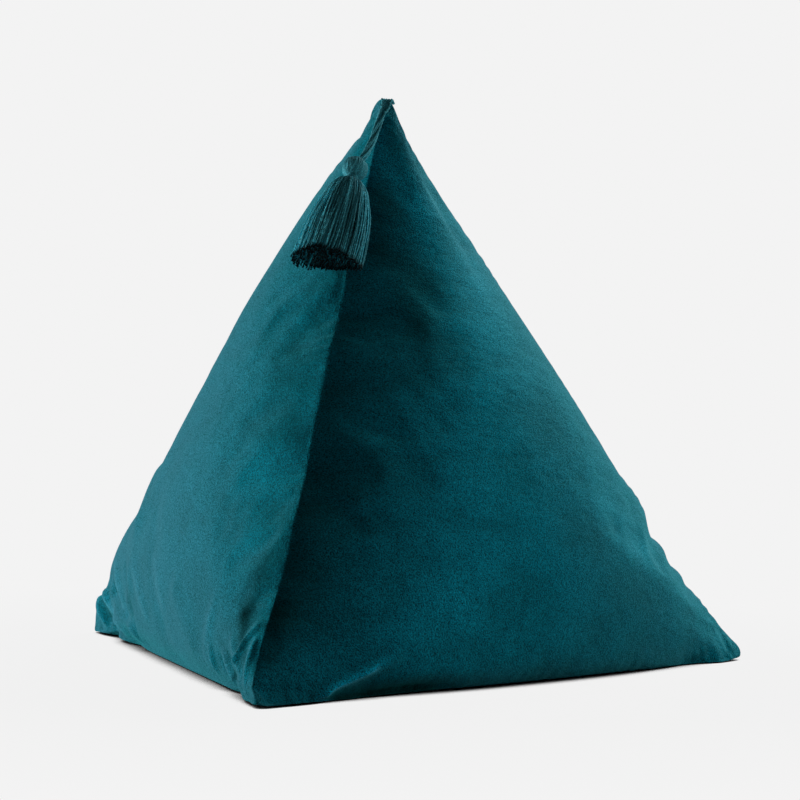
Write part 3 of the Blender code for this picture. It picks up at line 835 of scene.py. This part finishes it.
# The tassel: a cord of loose strands from the tip to a wound ball, and a skirt of cut yarns under it.
clothGap = 0.0003
pushSettings = {"tries": 3, "step": 0.0004, "spare": 0.00001, "facing": 0.1}


def clothTree(made):
    points = [vertex.co for vertex in made.data.vertices]
    return BVHTree.FromPolygons(points, [tuple(face.vertices) for face in made.data.polygons])


def outsideOf(tree, point):
    # How far outside of the cloth a point is, negative inside, and the way out.
    place, normal, _, distance = tree.find_nearest(point)
    away = point - place
    if away.dot(normal) < 0 or distance < 1e-6:
        return -distance, normal
    return distance, away / distance


def clearOf(tree, point, clearance):
    for _ in range(pushSettings["tries"]):
        outside, wayOut = outsideOf(tree, point)
        if outside >= clearance:
            break
        point = point + wayOut * (clearance - outside)
    return point


def pushOut(tree, point, clearance, direction, most):
    # Out of the cloth in one direction, so that what lies over a ridge isn't pushed to its sides.
    moved = 0.0
    while moved < most:
        outside, wayOut = outsideOf(tree, point)
        if outside >= clearance or wayOut.dot(direction) < pushSettings["facing"]:
            break
        step = min(pushSettings["step"], clearance - outside + pushSettings["spare"], most - moved)
        point = point + direction * step
        moved += step
    return point


def smoothRoute(route, step):
    made = []
    for i in range(len(route) - 1):
        before, start, end = route[max(i - 1, 0)], route[i], route[i + 1]
        after = route[min(i + 2, len(route) - 1)]
        count = max(1, round((end - start).length / step))
        for k in range(count):
            t = k / count
            pullIn, pullOut = (end - before) * 0.5, (after - start) * 0.5
            made.append(
                start * (2 * t**3 - 3 * t**2 + 1)
                + pullIn * (t**3 - 2 * t**2 + t)
                + end * (3 * t**2 - 2 * t**3)
                + pullOut * (t**3 - t**2)
            )
    made.append(route[-1])
    return made


def waver(rng, count, settings):
    # A slow sideways wander along a line, nothing at its start.
    t = np.linspace(0.0, 1.0, count)
    total = np.zeros(count)
    for turns in settings["wanderTurns"]:
        total += rng.normal() / turns * np.sin(2 * math.pi * (turns * t + rng.random()))
    return settings["wander"] * total * np.minimum(1.0, settings["wanderEase"] * t)


def someTone(rng, settings):
    darkest, spread = settings["tones"]
    return darkest + spread * rng.random()


cordSettings = {
    "radius": 0.0026,
    "strands": 5,
    "yarnRadius": 0.00088,
    "yarn": {"Ply Depth": 0.14, "Turns Per Metre": 160.0, "Sides": 8},
    "turns": 0.8,
    "flatness": 0.8,
    "fan": 0.0033,
    "fanReach": 0.26,
    "step": 0.0011,
    "held": 4,
    "mostPush": 0.003,
    "easing": 5,
    "strandPush": 0.0008,
    "inBall": 0.0006,
    "tones": (0.70, 0.55),
    "seed": 11,
}
cordRoute = (
    (0.0070, 0.0010, 0.3562),
    (0.0069, -0.0030, 0.3585),
    (0.0067, -0.0071, 0.3535),
    (0.0057, -0.0108, 0.3487),
    (0.0047, -0.0145, 0.3433),
    (0.0040, -0.0181, 0.3379),
    (0.0031, -0.0219, 0.3326),
    (0.0020, -0.0263, 0.3272),
    (0.0007, -0.0312, 0.3224),
)


def cordLineTo(ball, tree, outward, settings):
    # The cord's centre line, laid on the cloth and eased.
    end = ball + (Vector(cordRoute[-1]) - ball).normalized() * (ballSettings["radius"] - settings["inBall"])
    line = smoothRoute([Vector(point) for point in cordRoute] + [end], settings["step"])
    clearance = settings["radius"] + clothGap
    held = settings["held"]
    line[held:] = [pushOut(tree, point, clearance, outward, settings["mostPush"]) for point in line[held:]]
    for _ in range(settings["easing"]):
        eased = [(line[i - 1] + line[i] * 2 + line[i + 1]) / 4 for i in range(1, len(line) - 1)]
        line = [line[0]] + eased + [line[-1]]
    return line


def makeCord(settings, tree, ball, material):
    outward = Vector(seamAxes(("front", "top"))[0])
    line = cordLineTo(ball, tree, outward, settings)
    last = len(line) - 1
    across = Vector((1.0, 0.0, 0.0))
    frames = []
    for i in range(len(line)):
        ahead = (line[min(i + 1, last)] - line[max(i - 1, 0)]).normalized()
        across = (across - ahead * across.dot(ahead)).normalized()
        frames.append((across.copy(), ahead.cross(across)))
    strands = []
    rng = np.random.default_rng(settings["seed"])
    count = settings["strands"]
    spread = settings["radius"] - settings["yarnRadius"]
    for n in range(count):
        points = []
        for i, (side, third) in enumerate(frames):
            share = i / last
            turned = 2 * math.pi * (n / count + settings["turns"] * share)
            fan = math.exp(-((share / settings["fanReach"]) ** 2))
            flat = (n / (count - 1) * 2 - 1) * settings["fan"]
            x = spread * math.cos(turned) * (1 - fan) + flat * fan
            y = spread * math.sin(turned) * (1 - fan) * settings["flatness"]
            point = line[i] + side * x + third * y
            if i >= settings["held"]:
                point = pushOut(tree, point, settings["yarnRadius"], outward, settings["strandPush"])
            points.append(point)
        strands.append({"points": points, "thick": [1.0] * len(points), "tone": someTone(rng, settings)})
    return makeYarns("tasselCord", strands, material, settings), line


ballSettings = {
    "middle": (-0.0041, -0.0399, 0.3118),
    "radius": 0.0083,
    "coreDepth": 0.0011,
    "coreDetail": 3,
    "wraps": 64,
    "wrapTurn": 2.399963,
    "wrapShift": 0.30,
    "wrapDepth": 0.0007,
    "ringPoints": 40,
    "neckRadius": 0.0036,
    "neckInBall": 0.0012,
    "neckPitch": 1.5,
    "yarnRadius": 0.00058,
    "yarn": {"Ply Depth": 0.1, "Turns Per Metre": 0.0, "Sides": 6},
    "tones": (0.64, 0.32),
    "seed": 12,
}


def ringRound(middle, axis, radius, count):
    first = axis.orthogonal().normalized()
    second = axis.cross(first).normalized()
    angles = [2 * math.pi * k / count for k in range(count)]
    points = [middle + (first * math.cos(angle) + second * math.sin(angle)) * radius for angle in angles]
    return {"points": points, "thick": [1.0] * count}


def makeBall(settings, ball, collar, axes, material):
    # Yarn wound round the ball in many crossing loops, and round a neck from the ball into the skirt.
    rng = np.random.default_rng(settings["seed"])
    down, across, away = axes
    loops = []
    count = settings["wraps"]
    shift = settings["wrapShift"]
    for n in range(count):
        lean = math.acos(1 - (n + 0.5) / count)
        bearing = n * settings["wrapTurn"]
        spoke = across * math.cos(bearing) + away * math.sin(bearing)
        pole = down * math.cos(lean) + spoke * math.sin(lean)
        offset = rng.uniform(-shift, shift)
        radius = settings["radius"] - settings["yarnRadius"] - settings["wrapDepth"] * (1 - (n / count))
        middle = ball + pole * (offset * radius)
        loops.append(ringRound(middle, pole, radius * math.sqrt(1 - offset**2), settings["ringPoints"]))
        loops[-1]["tone"] = someTone(rng, settings)
    neck = collar - ball
    first = settings["radius"] - settings["neckInBall"]
    wraps = math.ceil((neck.length - first) / (settings["neckPitch"] * settings["yarnRadius"]))
    for n in range(wraps + 1):
        middle = ball + neck.normalized() * (first + (neck.length - first) * n / wraps)
        loops.append(ringRound(middle, neck, settings["neckRadius"], settings["ringPoints"]))
        loops[-1]["tone"] = someTone(rng, settings)
    wound = makeYarns("tasselBall", loops, material, settings, closed=True)
    core, detail = settings["radius"] - settings["coreDepth"], settings["coreDetail"]
    work = bmesh.new()
    work.from_mesh(wound.data)
    bmesh.ops.create_icosphere(work, subdivisions=detail, radius=core, matrix=Matrix.Translation(ball))
    for face in work.faces:
        face.smooth = True
    work.to_mesh(wound.data)
    work.free()
    return wound


# The skirt's rings: angle on the collar, reach as a share of the hem, and how many yarns.
skirtRings = ((88, 1.00, 94), (76, 0.87, 76), (62, 0.70, 58), (46, 0.50, 40), (28, 0.29, 22), (8, 0.10, 8))
skirtSettings = {
    "hemMiddle": (-0.0114, -0.0846, 0.2544),
    "hemHalfWidth": 0.0222,
    "hemHalfDepth": 0.0105,
    "hemDroop": 0.0060,
    "hemEvening": 0.17,
    "hemRagged": 0.0008,
    "collarRadius": 0.0062,
    "collarSquash": 0.75,
    "collarInBall": 0.0012,
    "ringTurn": 0.37,
    "rootSpread": 0.25,
    "leanSpread": 4,
    "reachSpread": (-0.03, 0.02),
    "shoulder": 0.0035,
    "shoulderShare": 0.33,
    "waist": 0.026,
    "wander": 0.00035,
    "wanderTurns": (0.6, 1.3, 2.6),
    "wanderEase": 3.0,
    "lift": 0.45,
    "mostPush": 0.03,
    "steps": 22,
    "rootThick": 0.45,
    "thickening": 1.8,
    "yarnRadius": 0.00056,
    "yarn": {"Ply Depth": 0.16, "Turns Per Metre": 95.0, "Sides": 6},
    "tones": (0.50, 0.85),
    "seed": 13,
}


def collarPlace(settings, tree, ball, down):
    depth = settings["collarRadius"] * settings["collarSquash"]
    middle = ball + down * (ballSettings["radius"] + depth - settings["collarInBall"])
    return clearOf(tree, middle, settings["collarRadius"] + clothGap)


def makeSkirt(settings, tree, middle, axes, material):
    rng = np.random.default_rng(settings["seed"])
    down, across, away = axes
    hemMiddle = Vector(settings["hemMiddle"])
    halfWidth, halfDepth = settings["hemHalfWidth"], settings["hemHalfDepth"]
    jitter, tilt, collar = settings["rootSpread"], settings["leanSpread"], settings["collarRadius"]
    steps = settings["steps"]
    yarns = []
    for angle, reach, count in skirtRings:
        for k in range(count):
            turned = k + rng.uniform(-jitter, jitter) + angle * settings["ringTurn"]
            bearing = 2 * math.pi * turned / count
            lean = math.radians(angle + rng.uniform(-tilt, tilt))
            spoke = across * math.cos(bearing) + away * math.sin(bearing)
            reached = down * (settings["collarSquash"] * math.cos(lean)) + spoke * math.sin(lean)
            root = middle + reached * collar
            outward = (root - middle).normalized()
            even = bearing + settings["hemEvening"] * math.sin(2 * bearing)
            share = reach * (1 + rng.uniform(*settings["reachSpread"]))
            sideways, forward = halfWidth * share * math.cos(even), halfDepth * share * math.sin(even)
            droop = settings["hemDroop"] * (sideways / halfWidth) ** 2
            hem = hemMiddle + across * sideways + away * (forward - droop)
            hem = hem + down * rng.normal() * settings["hemRagged"]
            spread = max(0.0, math.hypot(sideways, forward) - collar)
            shoulder = root + outward * (settings["shoulder"] + settings["shoulderShare"] * spread)
            waist = hem - down * settings["waist"]
            wander = [waver(rng, steps + 1, settings) for _ in range(2)]
            points, thick = [], []
            for i in range(steps + 1):
                t = i / steps
                point = root * (1 - t) ** 3 + shoulder * (3 * t * (1 - t) ** 2)
                point = point + waist * (3 * t**2 * (1 - t)) + hem * t**3
                point = point + across * wander[0][i] + away * wander[1][i]
                behind = (forward + halfDepth) * t
                clearance = settings["yarnRadius"] + clothGap + settings["lift"] * behind
                points.append(pushOut(tree, point, clearance, away, settings["mostPush"]))
                thick.append(min(1.0, settings["rootThick"] + settings["thickening"] * t))
            cut = [0.0] * steps + [1.0]
            yarns.append({"points": points, "thick": thick, "tone": someTone(rng, settings), "cut": cut})
    return makeYarns("tasselSkirt", yarns, material, settings)


def makeTassel(material):
    tree = clothTree(cushion)
    ball = clearOf(tree, Vector(ballSettings["middle"]), ballSettings["radius"] + clothGap)
    down = (Vector(skirtSettings["hemMiddle"]) - ball).normalized()
    across = Vector((1.0, 0.0, 0.0))
    across = (across - down * across.dot(down)).normalized()
    axes = (down, across, down.cross(across))
    cord, line = makeCord(cordSettings, tree, ball, material)
    collar = collarPlace(skirtSettings, tree, ball, down)
    wound = makeBall(ballSettings, ball, collar, axes, material)
    return cord, line, wound, makeSkirt(skirtSettings, tree, collar, axes, material)


# Materials.
def makeGrain():
    # Short fibres: a fine value that changes over the surface, and a height for bumps.
    group = bpy.data.node_groups.new("fibreGrain", "ShaderNodeTree")
    wanted = (("Vector", "Vector", None), ("Fineness", "Float", 900.0), ("Contrast", "Float", 1.0))
    addSockets(group, "INPUT", wanted)
    addSockets(group, "OUTPUT", (("Tone", "Float", None), ("Height", "Float", None)))
    begin = addNode(group, "NodeGroupInput").outputs
    given = {"Vector": begin["Vector"], "Scale": begin["Fineness"], "Detail": 1.0, "Roughness": 0.5}
    fine = addNode(group, "ShaderNodeTexNoise", given).outputs["Fac"]
    tone = addMath(group, "MULTIPLY_ADD", addMath(group, "SUBTRACT", fine, 0.5), begin["Contrast"], 1.0)
    addNode(group, "NodeGroupOutput", {"Tone": tone, "Height": fine})
    return group


fibreGrain = makeGrain()


def addGrain(tree, settings):
    place = addNode(tree, "ShaderNodeTexCoord").outputs["Object"]
    given = {"Vector": place, "Fineness": settings["fineness"], "Contrast": settings["grainContrast"]}
    return addNode(tree, "ShaderNodeGroup", given, node_tree=fibreGrain).outputs


def mixColors(tree, kind, share, first, second):
    given = {0: share, 6: first, 7: second}
    return addNode(tree, "ShaderNodeMix", given, data_type="RGBA", blend_type=kind).outputs[2]


def addBump(tree, height, bump, normal=None):
    given = {"Height": height, "Strength": bump[0], "Distance": bump[1]}
    if normal:
        given["Normal"] = normal
    return addNode(tree, "ShaderNodeBump", given).outputs["Normal"]


def attributeOf(tree, name, output="Fac"):
    return addNode(tree, "ShaderNodeAttribute", attribute_name=name).outputs[output]


def newMaterial(name, plain):
    material = bpy.data.materials.new(name)
    material.use_nodes = True
    tree = material.node_tree
    shader = tree.nodes["Principled BSDF"]
    for key, value in plain.items():
        shader.inputs[key].default_value = value
    return material, tree, shader


# A bump is its strength and its depth in metres.
velvetSettings = {
    "plain": {
        "Roughness": 0.9,
        "Specular IOR Level": 0.02,
        "Sheen Weight": 0.34,
        "Sheen Roughness": 0.6,
        "Sheen Tint": (0.03, 0.95, 0.98, 1.0),
    },
    "color": (0.0006, 0.128, 0.188, 1.0),
    "deepColor": (0.0003, 0.086, 0.128, 1.0),
    # The next two paint a paler sheen where the surface is seen edge-on.
    "sheenPaintTint": (0.042, 0.140, 0.200, 1.0),
    "sheenPaintFrom": 0.35,
    "fineness": 1250.0,
    "grainContrast": 4.4,
    "grainBump": (0.5, 0.0012),
    "ribPeriod": 0.0016,
    "ribContrast": 0.06,
    "ribBump": (0.06, 0.0002),
    "seamWidth": 0.0009,
    "seamBump": (0.6, 0.0006),
    "smearStretch": (20.0, 38.0, 1.0),
    "smearTurn": 0.5,
    "smearNoise": {"Scale": 1.0, "Detail": 4.0, "Roughness": 0.55},
    "smearRange": (0.35, 0.62),
    "smearBump": (0.26, 0.02),
}


def makeVelvet(settings):
    material, tree, shader = newMaterial("tealVelvet", settings["plain"])
    panel = addNode(tree, "ShaderNodeUVMap", uv_map="panelMap").outputs["UV"]
    grain = addGrain(tree, settings)
    # The pile lies in slanted smears, as a hand leaves it.
    turn = (0.0, 0.0, settings["smearTurn"])
    slant = {"Vector": panel, "Rotation": turn, "Scale": settings["smearStretch"]}
    slanted = addNode(tree, "ShaderNodeMapping", slant).outputs["Vector"]
    noise = {"Vector": slanted, **settings["smearNoise"]}
    smear = addNode(tree, "ShaderNodeTexNoise", noise).outputs["Fac"]
    level = addRange(tree, smear, *settings["smearRange"], kind="SMOOTHSTEP")
    laid = mixColors(tree, "MIX", level, settings["deepColor"], settings["color"])
    # Painted sheen: seen along the surface, the colour is mixed toward a paler tint.
    facing = addNode(tree, "ShaderNodeLayerWeight").outputs["Facing"]
    paintedSheen = addRange(tree, facing, settings["sheenPaintFrom"], 1.0)
    laid = mixColors(tree, "MIX", paintedSheen, laid, settings["sheenPaintTint"])
    # Fine diagonal ribs of the backing.
    turns = 2 * math.pi / settings["ribPeriod"] / math.sqrt(2.0)
    slope = {0: panel, 1: (turns, turns, 0.0)}
    across = addNode(tree, "ShaderNodeVectorMath", slope, operation="DOT_PRODUCT").outputs["Value"]
    ribs = addMath(tree, "SINE", across)
    ribTone = addMath(tree, "MULTIPLY_ADD", ribs, settings["ribContrast"], 1.0)
    # Grain, the painted light and shade of each panel, and the ribs all scale the colour.
    for tone in (grain["Tone"], attributeOf(tree, "paintedTone"), ribTone):
        laid = mixColors(tree, "MULTIPLY", 1.0, laid, tone)
    tree.links.new(laid, shader.inputs["Base Color"])
    shape = addNode(tree, "ShaderNodeNewGeometry").outputs["Normal"]
    brushed = {0: shape, 1: attributeOf(tree, "pileLean", "Vector")}
    leaning = addNode(tree, "ShaderNodeVectorMath", brushed, operation="ADD").outputs["Vector"]
    normal = addNode(tree, "ShaderNodeVectorMath", {0: leaning}, operation="NORMALIZE").outputs["Vector"]
    normal = addBump(tree, smear, settings["smearBump"], normal)
    normal = addBump(tree, ribs, settings["ribBump"], normal)
    # The two cloths dip to the thread between them.
    dip = addRange(tree, attributeOf(tree, "fromSeam"), 0.0, settings["seamWidth"], kind="SMOOTHSTEP")
    normal = addBump(tree, dip, settings["seamBump"], normal)
    normal = addBump(tree, grain["Height"], settings["grainBump"], normal)
    tree.links.new(normal, shader.inputs["Normal"])
    return material


yarnSettings = {
    "plain": {"Roughness": 0.85, "Specular IOR Level": 0.1},
    "color": (0.110, 0.640, 0.760, 1.0),
    # Painted shade where a yarn's surface is seen edge-on.
    "paintedShadeRange": (0.15, 0.90, 1.0, 0.42),
    # Painted shade on the cut ends of the skirt's yarns.
    "paintedEndShade": (0.002, 0.006, 0.008, 1.0),
    "fineness": 1600.0,
    "grainContrast": 2.0,
    "grainBump": (0.4, 0.0008),
}


def makeYarnMaterial(settings):
    material, tree, shader = newMaterial("tealYarn", settings["plain"])
    grain = addGrain(tree, settings)
    # Painted shade: the colour darkens where a yarn turns away, where loose fibres shade each other.
    facing = addNode(tree, "ShaderNodeLayerWeight").outputs["Facing"]
    shaded = addRange(tree, facing, *settings["paintedShadeRange"], kind="SMOOTHSTEP")
    toned = settings["color"]
    for tone in (attributeOf(tree, "yarnTone"), grain["Tone"], shaded):
        toned = mixColors(tree, "MULTIPLY", 1.0, toned, tone)
    # Painted shade on the cut ends, darkened toward near black.
    toned = mixColors(tree, "MIX", attributeOf(tree, "cutEnd"), toned, settings["paintedEndShade"])
    tree.links.new(toned, shader.inputs["Base Color"])
    tree.links.new(addBump(tree, grain["Height"], settings["grainBump"]), shader.inputs["Normal"])
    return material


velvet = makeVelvet(velvetSettings)
cushion.data.materials.append(velvet)
yarn = makeYarnMaterial(yarnSettings)
cord, cordLine, ball, skirt = makeTassel(yarn)
print("tassel made")

# Floor and light.
stageSettings = {
    "floorSize": 8.0,
    "plain": {"Base Color": (0.45, 0.45, 0.45, 1.0), "Roughness": 0.9, "Specular IOR Level": 0.0},
    "paper": 0.896,
    # The next three paint a contact shadow into the floor's glow.
    "edgeShade": 0.018,
    "edgeSamples": 8,
    "paintedShadeRange": (0.15, 0.55),
    "plainRange": (0.3, 0.6, 0.97, 1.0),
    "fill": 0.045,
    "aimHeight": 0.15,
}


def makeFloor(settings):
    half = settings["floorSize"] / 2
    corners = [(-half, -half, 0), (half, -half, 0), (half, half, 0), (-half, half, 0)]
    floor = newObject("paleFloor", corners, [(0, 1, 2, 3)])
    material, tree, shader = newMaterial("palePaper", settings["plain"])
    # Painted contact shadow: the floor's glow is dimmed by occlusion just under the cushion's overhanging
    # edge.
    given = {"Distance": settings["edgeShade"]}
    shade = addNode(tree, "ShaderNodeAmbientOcclusion", given, samples=settings["edgeSamples"])
    paintedShadow = addRange(tree, shade.outputs["AO"], *settings["paintedShadeRange"], kind="SMOOTHSTEP")
    paper = (settings["paper"],) * 3 + (1.0,)
    glow = addNode(tree, "ShaderNodeEmission", {"Color": paper, "Strength": paintedShadow})
    seen = addNode(tree, "ShaderNodeLightPath").outputs["Is Camera Ray"]
    place = addNode(tree, "ShaderNodeTexCoord").outputs["Object"]
    away = addNode(tree, "ShaderNodeVectorMath", {0: place}, operation="LENGTH").outputs["Value"]
    share = addMath(tree, "MULTIPLY", seen, addRange(tree, away, *settings["plainRange"]))
    mix = addNode(tree, "ShaderNodeMixShader", {0: share, 1: shader.outputs[0], 2: glow.outputs[0]})
    tree.links.new(mix.outputs[0], tree.nodes["Material Output"].inputs["Surface"])
    floor.data.materials.append(material)


# Low light from the left, two from behind, and next to none from the camera's side.
lightTable = (
    {"name": "keyLight", "place": (-1.99, 0.17, 0.36), "power": 40.5, "size": (0.9, 0.7)},
    {"name": "backLight", "place": (0.40, 1.48, 1.44), "power": 38.0, "size": (0.9, 0.9)},
    {"name": "rimLight", "place": (1.63, 0.94, 0.83), "power": 11.8, "size": (0.9, 0.9)},
)


def makeLights(table, settings):
    world = bpy.data.worlds.new("softWorld")
    world.use_nodes = True
    tree = world.node_tree
    seen = addNode(tree, "ShaderNodeLightPath").outputs["Is Camera Ray"]
    level = addRange(tree, seen, 0.0, 1.0, settings["fill"], settings["paper"])
    tree.links.new(level, tree.nodes["Background"].inputs["Strength"])
    tree.nodes["Background"].inputs["Color"].default_value = (1.0, 1.0, 1.0, 1.0)
    scene.world = world
    aim = Vector((0, 0, settings["aimHeight"]))
    for row in table:
        light = bpy.data.lights.new(row["name"], "AREA")
        light.energy = row["power"]
        light.shape = "RECTANGLE"
        light.size, light.size_y = row["size"]
        made = bpy.data.objects.new(row["name"], light)
        made.location = row["place"]
        made.rotation_euler = (aim - Vector(row["place"])).to_track_quat("-Z", "Y").to_euler()
        scene.collection.objects.link(made)


makeFloor(stageSettings)
makeLights(lightTable, stageSettings)
scene.view_settings.view_transform = "Standard"
print("stage made")

for piece, node, slot in (
    (cushion, "cushion", "velvet"),
    (cord, "tassel_cord", "tassel_yarn"),
    (ball, "tassel_ball", "tassel_yarn"),
    (skirt, "tassel_skirt", "tassel_yarn"),
):
    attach(piece, "root")
    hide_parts(node)
